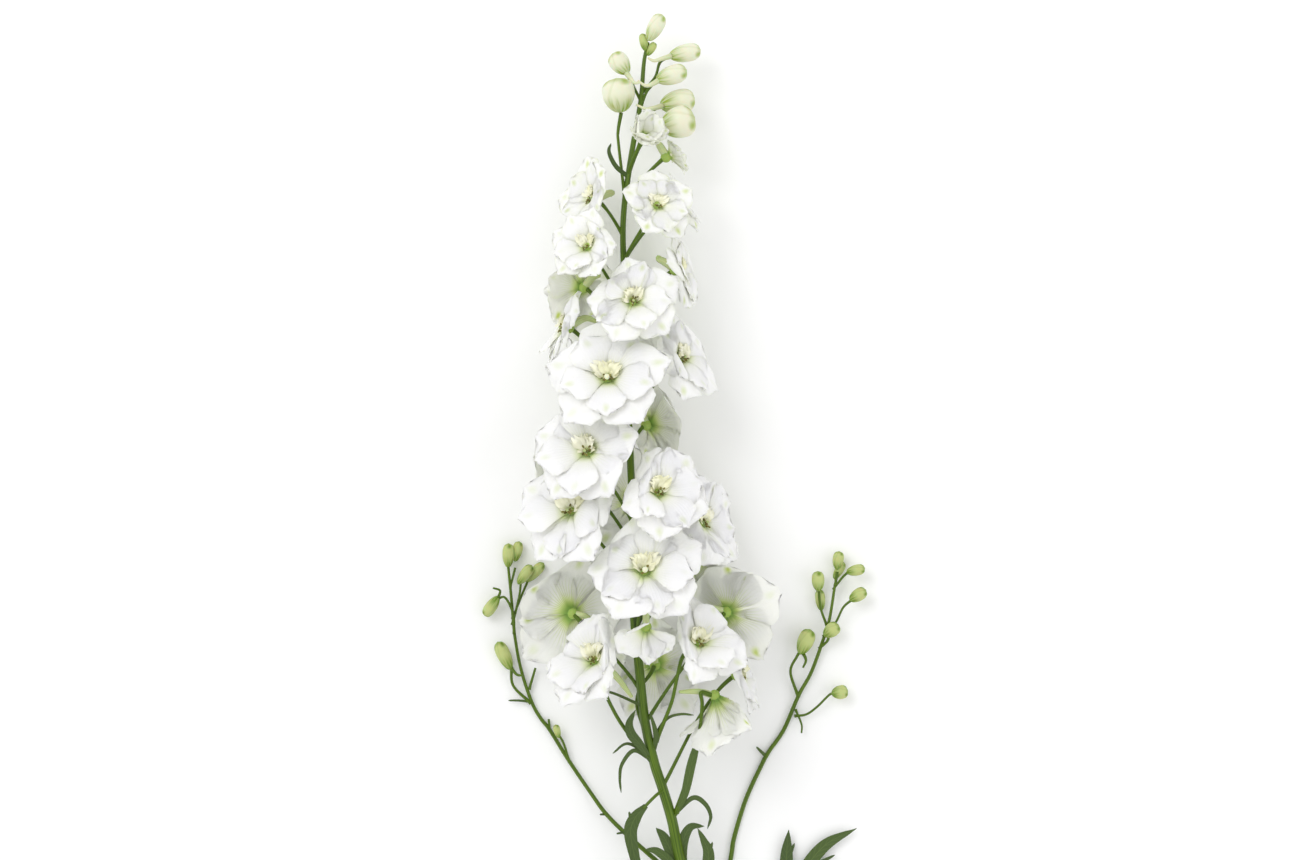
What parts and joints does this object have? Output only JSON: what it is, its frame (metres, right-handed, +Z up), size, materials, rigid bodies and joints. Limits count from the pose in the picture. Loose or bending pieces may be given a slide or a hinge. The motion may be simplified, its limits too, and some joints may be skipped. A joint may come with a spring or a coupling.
{
  "type": "delphinium flower spike",
  "caption": "White delphinium flower spike, cut and laid on its back: a tapering head of layered blooms and buds on a green stem, with budded side shoots and lobed leaves.",
  "frame": {"origin": "middle of the bounding box at table level", "axes": "+Y towards the tip of the spike, +Z up from the table, +X to the right as seen from above with the tip away from the viewer"},
  "size_m": [0.1977, 0.5442, 0.0829],
  "materials": {
    "sepal_white": "matte",
    "bud_ivory": "satin",
    "stem_green": "satin"
  },
  "bodies": {
    "root": {"bloom_01": "sepal_white", "bloom_02": "sepal_white", "bloom_03": "sepal_white", "bloom_04": "sepal_white", "bloom_05": "sepal_white", "bloom_06": "sepal_white", "bloom_07": "sepal_white", "bloom_08": "sepal_white", "bloom_09": "sepal_white", "bloom_10": "sepal_white", "bloom_11": "sepal_white", "bloom_12": "sepal_white", "bloom_13": "sepal_white", "bloom_14": "sepal_white", "bloom_15": "sepal_white", "bloom_16": "sepal_white", "bloom_17": "sepal_white", "bloom_18": "sepal_white", "bloom_19": "sepal_white", "bloom_20": "sepal_white", "bloom_21": "sepal_white", "bloom_22": "sepal_white", "bloom_23": "sepal_white", "bloom_24": "sepal_white", "bloom_25": "sepal_white", "bloom_26": "sepal_white", "bloom_27": "sepal_white", "bloom_28": "sepal_white", "bloom_29": "sepal_white", "bloom_30": "sepal_white", "bud_01": "bud_ivory", "bud_02": "bud_ivory", "bud_03": "bud_ivory", "bud_04": "bud_ivory", "bud_05": "bud_ivory", "bud_06": "bud_ivory", "bud_07": "bud_ivory", "main_stem": "stem_green", "left_side_shoot": "stem_green", "right_side_shoot": "stem_green"}
  },
  "joints": []
}
